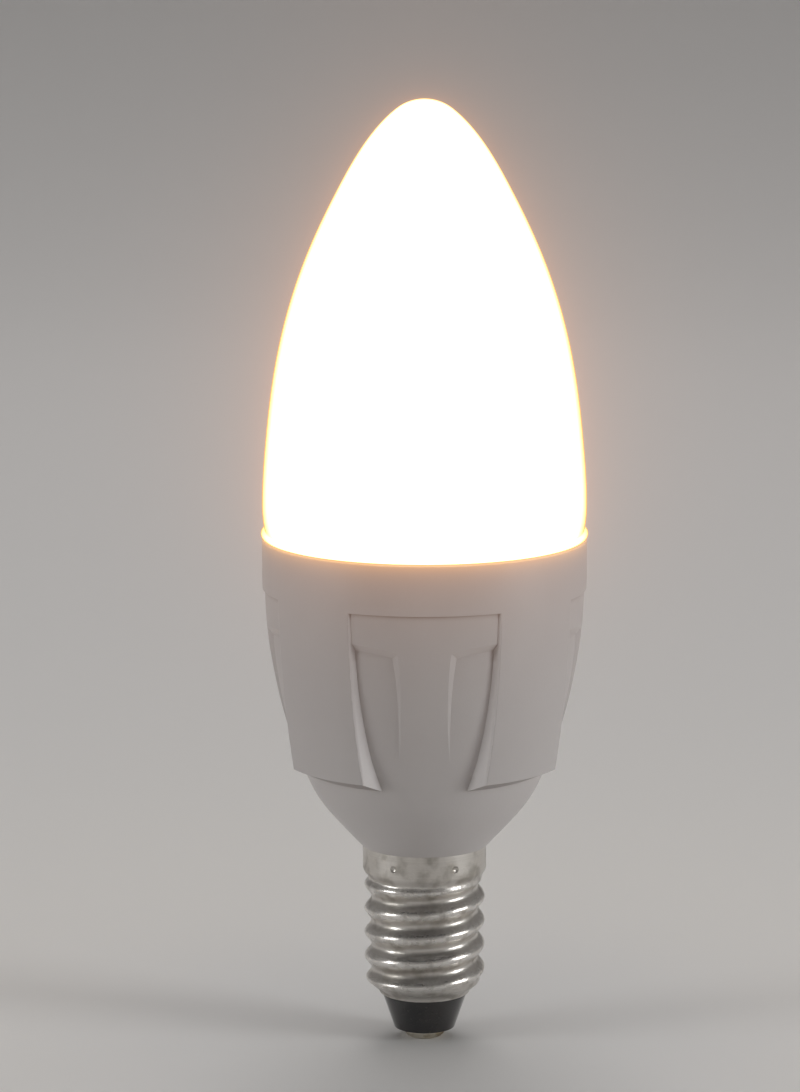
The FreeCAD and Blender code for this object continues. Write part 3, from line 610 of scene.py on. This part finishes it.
chip_phosphor, tree, shader, _ = moulded_material(
    "chip_phosphor", colour=(0.9, 0.62, 0.1), second_colour=(0.86, 0.5, 0.05),
    roughness=0.3, patches=3000, grains=12000, depth=0.00001,
)
specks = colour_scale(tree, noise(tree, 14000, 2), [(0.35, (1.0, 0.66, 0.22)), (0.65, (1.0, 0.82, 0.46))])
tree.links.new(specks, shader.inputs["Emission Color"])
shader.inputs["Emission Strength"].default_value = 1.5
put_on(chip_phosphor, "chip_phosphors")

# Board screws
# Two slotted screws of zinc-plated steel that hold the light board and the heat sink. The heads show the
# rings of turning, and the plating is worn round their edges.

screw_offset = 0.0065
screw_head_radius = 0.0019

screw_steel, tree, shader = new_material("screw_steel")
parts = add_node(tree, "SeparateXYZ", {"Vector": object_place(tree)}).outputs
from_middle = calculated(tree, "SUBTRACT", calculated(tree, "ABSOLUTE", parts["Y"]), screw_offset)
squares = calculated(
    tree, "MULTIPLY_ADD", from_middle, from_middle, calculated(tree, "MULTIPLY", parts["X"], parts["X"]),
)
distance = calculated(tree, "SQRT", squares)
edge_wear = rising(tree, distance, screw_head_radius - 0.0004, screw_head_radius)
metal_skin(
    tree, shader, colour=(0.6, 0.62, 0.65), dull=(0.44, 0.46, 0.46), bright=(0.76, 0.76, 0.76),
    roughness=0.3, patches=900, wear=edge_wear,
    lines=turned_lines(tree, distance, parts["Z"], 9000), depth=0.00001,
)
put_on(screw_steel, "board_screws")

# Wires to the light board
# Two tinned strands in red and black insulation, from the driver up through the heat sink. The last
# millimetre of each is stripped and soldered to a pad of the light board with a bright, frosted joint.

stripped_above = board_top + 0.0001


def wire_material(name, node, colour, second_colour, find_stripped):
    """Waxy insulation of one wire, with its tinned strands where a function finds it stripped."""
    material, tree, shader, _ = moulded_material(
        name, colour, second_colour, roughness=0.38, patches=700, grains=6500, depth=0.00001,
    )
    show_metal(tree, shader, find_stripped(tree), tin, roughness=0.28)
    put_on(material, node)


def above_board(tree):
    """1 on the stripped upper end of a wire to the light board."""
    return rising(tree, height_in(tree), stripped_above - cut_blur, stripped_above)


red = (0.56, 0.035, 0.03)
worn_red = (0.46, 0.025, 0.022)
black = (0.018, 0.018, 0.018)
worn_black = (0.03, 0.029, 0.028)

wire_material("red_insulation", "positive_wire", red, worn_red, above_board)
wire_material("black_insulation", "negative_wire", black, worn_black, above_board)

solder, tree, shader = new_material("solder")
metal_skin(
    tree, shader, colour=(0.8, 0.8, 0.79), dull=(0.6, 0.6, 0.6), bright=(0.88, 0.88, 0.87),
    roughness=0.2, patches=2600, wear=rising(tree, noise(tree, 1500, 2), 0.5, 0.62),
    lines=noise(tree, 9000, 4), depth=0.00001,
)
put_on(solder, "solder_joints")

# Driver board
# Glass-fibre board, upright in the housing with a narrow tail in its neck. Green mask covers copper areas
# that show lighter, with tinned through-holes between them. The sawn edges are bare and tan.

face_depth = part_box("driver_board")[1].y
hole_pitch = 0.00254
copper_areas_per_metre = 260
copper_gap = 0.035
least_copper_value = 0.35
least_hole_value = 0.72
pad_reach = 0.19
hole_reach = 0.09

circuit_board, tree, shader, skin_colour = moulded_material(
    "circuit_board", colour=(0.012, 0.1, 0.035), second_colour=(0.009, 0.08, 0.03),
    roughness=0.3, patches=300, grains=4200, depth=0.000006,
)
parts = add_node(tree, "SeparateXYZ", {"Vector": object_place(tree)}).outputs
flat = add_node(tree, "CombineXYZ", {"X": parts["X"], "Y": parts["Z"]}).outputs["Vector"]
islands = {"Vector": flat, "Scale": copper_areas_per_metre, "Randomness": 0.75}
cells = add_node(tree, "TexVoronoi", islands, voronoi_dimensions="2D")
gaps = add_node(tree, "TexVoronoi", islands, voronoi_dimensions="2D", feature="DISTANCE_TO_EDGE")
cell_value = add_node(tree, "SeparateColor", {"Color": cells.outputs["Color"]}).outputs["Red"]
copper = calculated(
    tree, "MULTIPLY", calculated(tree, "GREATER_THAN", cell_value, least_copper_value),
    rising(tree, gaps.outputs["Distance"], copper_gap, copper_gap + 0.012),
)
tree.links.new(blended(tree, copper, skin_colour, (0.045, 0.23, 0.07, 1)), shader.inputs["Base Color"])
bumped(tree, shader, copper, 0.000035)
holes = {"Vector": flat, "Scale": 1 / hole_pitch, "Randomness": 0.0}
grid = add_node(tree, "TexVoronoi", holes, voronoi_dimensions="2D")
hole_value = add_node(tree, "SeparateColor", {"Color": grid.outputs["Color"]}).outputs["Red"]
from_hole = grid.outputs["Distance"]
has_hole = calculated(tree, "GREATER_THAN", hole_value, least_hole_value)
tinned = calculated(tree, "MULTIPLY", has_hole, calculated(tree, "LESS_THAN", from_hole, pad_reach))
drilled = calculated(tree, "MULTIPLY", tinned, calculated(tree, "LESS_THAN", from_hole, hole_reach))
masked = shader.inputs["Base Color"].links[0].from_socket
tree.links.new(blended(tree, drilled, masked, (0.008, 0.008, 0.008, 1)), shader.inputs["Base Color"])
tinned = calculated(tree, "SUBTRACT", tinned, drilled)
show_metal(tree, shader, tinned, tin, roughness=0.3)
depth_in_board = calculated(tree, "ABSOLUTE", parts["Y"])
sawn = calculated(tree, "LESS_THAN", depth_in_board, face_depth - 0.00001)
fibres = colour_scale(
    tree, noise(tree, 3000, 3, (1, 12, 1)), [(0.3, (0.3, 0.24, 0.12)), (0.7, (0.46, 0.4, 0.24))],
)
green = shader.inputs["Base Color"].links[0].from_socket
tree.links.new(blended(tree, sawn, green, fibres), shader.inputs["Base Color"])
on_face = calculated(tree, "SUBTRACT", 1.0, sawn)
tree.links.new(calculated(tree, "MULTIPLY", tinned, on_face), shader.inputs["Metallic"])
put_on(circuit_board, "driver_board")

# Capacitors
# Two cans of drawn aluminium, each in a black-blue shrink sleeve with a pale stripe down the side of its
# minus leg. The sleeve is turned in over the top and leaves a disc of bare metal with a scored line.


def can_material(name, node, stripe_turn):
    """Sleeve and bare top of one can, with its stripe at a turn about the can's axis."""
    low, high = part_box(node)
    middle = (low + high) / 2
    radius = (high.x - low.x) / 2
    material, tree, shader, colour = moulded_material(
        name, colour=(0.012, 0.016, 0.034), second_colour=(0.016, 0.02, 0.044),
        roughness=0.26, patches=500, grains=2600, depth=0.00002,
    )
    distance, turn, height = around(tree, middle)
    stripe = band(tree, turn, stripe_turn, 0.075, 0.004)
    tree.links.new(blended(tree, stripe, colour, (0.42, 0.45, 0.5, 1)), shader.inputs["Base Color"])
    half_length = (high.z - low.z) / 2
    near_top = rising(tree, height, half_length - 0.0004, half_length - 0.0003)
    inside_rim = falling(tree, distance, radius - 0.0007, radius - 0.0006)
    bare = calculated(tree, "MULTIPLY", near_top, inside_rim)
    show_metal(tree, shader, bare, bare_aluminium, roughness=0.3)
    put_on(material, node)


can_material("input_can_sleeve", "input_capacitor", 0.82)
can_material("output_can_sleeve", "output_capacitor", 0.62)

# Coil
# A drum of sintered ferrite, dark and grainy, wound with enamelled copper wire. The enamel makes the copper
# glossy and a little uneven in colour from turn to turn.

wire_turns_per_metre = 2500

ferrite = moulded_material(
    "ferrite", colour=(0.035, 0.034, 0.034), second_colour=(0.06, 0.058, 0.056),
    roughness=0.66, patches=1100, grains=6000, depth=0.00004,
)[0]
put_on(ferrite, "coil_core")

copper_wire, tree, shader = new_material("copper_wire")
parts = add_node(tree, "SeparateXYZ", {"Vector": object_place(tree)}).outputs
along_coil = add_node(tree, "CombineXYZ", {"X": parts["Y"]}).outputs["Vector"]
by_turn = {"Vector": along_coil, "Scale": wire_turns_per_metre, "Detail": 1.0}
turns = add_node(tree, "TexNoise", by_turn).outputs["Fac"]
metal_skin(
    tree, shader, colour=(0.72, 0.3, 0.12), dull=(0.5, 0.17, 0.06), bright=(0.85, 0.42, 0.2),
    roughness=0.24, patches=800, wear=rising(tree, turns, 0.45, 0.7), lines=turns, depth=0.000012,
)
shader.inputs["Coat Weight"].default_value = 0.6
shader.inputs["Coat Roughness"].default_value = 0.12
shader.inputs["Coat Tint"].default_value = (1.0, 0.72, 0.45, 1)
put_on(copper_wire, "coil_winding")

# Film capacitor
# Wound film dipped in ochre resin, which sets glossy and slightly wavy. It stands on the front of the
# driver board.

film_case, _, shader, _ = moulded_material(
    "film_case", colour=(0.72, 0.42, 0.045), second_colour=(0.62, 0.33, 0.03),
    roughness=0.22, patches=260, grains=1500, depth=0.00004,
)
shader.inputs["Coat Weight"].default_value = 0.7
shader.inputs["Coat Roughness"].default_value = 0.1
put_on(film_case, "film_capacitor")

# Bridge rectifier, driver chip and diode
# Cases moulded in black resin, matt from the mould. Tinned leads stand out at both sides and hold them to
# the driver board.


def leaded_case(name, node, overhang):
    """Black case of a node, with tin on the leads that stand out at its two sides."""
    low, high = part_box(node)
    case_half_width = (high.x - low.x) / 2 - overhang
    material, tree, shader, colour = moulded_material(
        name, colour=(0.018, 0.018, 0.018), second_colour=(0.028, 0.027, 0.026),
        roughness=0.56, patches=800, grains=7500, depth=0.00002,
    )
    across = add_node(tree, "SeparateXYZ", {"Vector": object_place(tree)}).outputs["X"]
    off = calculated(tree, "ABSOLUTE", calculated(tree, "SUBTRACT", across, (low.x + high.x) / 2))
    edge = case_half_width + 0.00002
    show_metal(tree, shader, rising(tree, off, edge, edge + 0.00002), tin, roughness=0.3)
    put_on(material, node)


leaded_case("bridge_case", "bridge_rectifier", 0.0009)
leaded_case("driver_chip_case", "driver_chip", 0.0009)
leaded_case("diode_case", "output_diode", 0.0006)

# Small resistors
# Four chips of white ceramic with a black glaze on the outer face. Tinned caps at both ends hold them to
# the back of the driver board.

end_cap_inset = 0.00035
glaze_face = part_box("small_resistors")[1].y
cap_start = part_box("small_resistors")[1].x - end_cap_inset

resistor_ceramic, tree, shader, skin_colour = moulded_material(
    "resistor_ceramic", colour=(0.8, 0.79, 0.76), second_colour=(0.74, 0.73, 0.7),
    roughness=0.5, patches=1400, grains=9000, depth=0.000008,
)
parts = add_node(tree, "SeparateXYZ", {"Vector": object_place(tree)}).outputs
glazed = calculated(tree, "GREATER_THAN", parts["Y"], glaze_face - 0.00003)
tree.links.new(blended(tree, glazed, skin_colour, (0.02, 0.02, 0.022, 1)), shader.inputs["Base Color"])
end_caps = calculated(tree, "GREATER_THAN", calculated(tree, "ABSOLUTE", parts["X"]), cap_start)
show_metal(tree, shader, end_caps, tin, roughness=0.34)
put_on(resistor_ceramic, "small_resistors")

# Fuse resistor
# A rod with a matt green flameproof coat and painted colour bands. Two tinned wires hold it upright in
# front of the driver board's tail.

coat_length = 0.0065
band_half_width = 0.00028
bands = [
    (-0.0021, (0.16, 0.07, 0.03)),
    (-0.0012, (0.02, 0.02, 0.02)),
    (-0.0003, (0.5, 0.16, 0.02)),
    (0.0014, (0.45, 0.32, 0.08)),
]

fuse_low, fuse_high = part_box("fuse_resistor")
fuse_middle = (fuse_low.z + fuse_high.z) / 2
fuse_coating, tree, shader, skin_colour = moulded_material(
    "fuse_coating", colour=(0.16, 0.3, 0.19), second_colour=(0.12, 0.25, 0.15),
    roughness=0.6, patches=900, grains=6000, depth=0.00002,
)
height = calculated(tree, "SUBTRACT", height_in(tree), fuse_middle)
painted = skin_colour
for place, colour in bands:
    painted = blended(tree, band(tree, height, place, band_half_width, 0.00003), painted, (*colour, 1))
tree.links.new(painted, shader.inputs["Base Color"])
beyond_coat = calculated(tree, "SUBTRACT", calculated(tree, "ABSOLUTE", height), coat_length / 2)
show_metal(tree, shader, rising(tree, beyond_coat, 0.00001, 0.00004), tin, roughness=0.28)
put_on(fuse_coating, "fuse_resistor")

# Wires to the cap
# A black one down into the hollow shank of the centre contact, and a white one round the rim of the neck
# to the shell. The last millimetre of each is stripped and tinned.

live_stripped_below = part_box("live_wire")[0].z + 0.0012
return_stripped_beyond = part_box("return_wire")[1].y - 0.0009

white = (0.78, 0.78, 0.75)
worn_white = (0.7, 0.69, 0.65)


def in_contact(tree):
    """1 on the stripped lower end of the live wire."""
    return falling(tree, height_in(tree), live_stripped_below - cut_blur, live_stripped_below)


def at_shell(tree):
    """1 on the stripped outer end of the return wire."""
    outwards = add_node(tree, "SeparateXYZ", {"Vector": object_place(tree)}).outputs["Y"]
    return rising(tree, outwards, return_stripped_beyond - cut_blur, return_stripped_beyond)


wire_material("live_insulation", "live_wire", black, worn_black, in_contact)
wire_material("white_insulation", "return_wire", white, worn_white, at_shell)
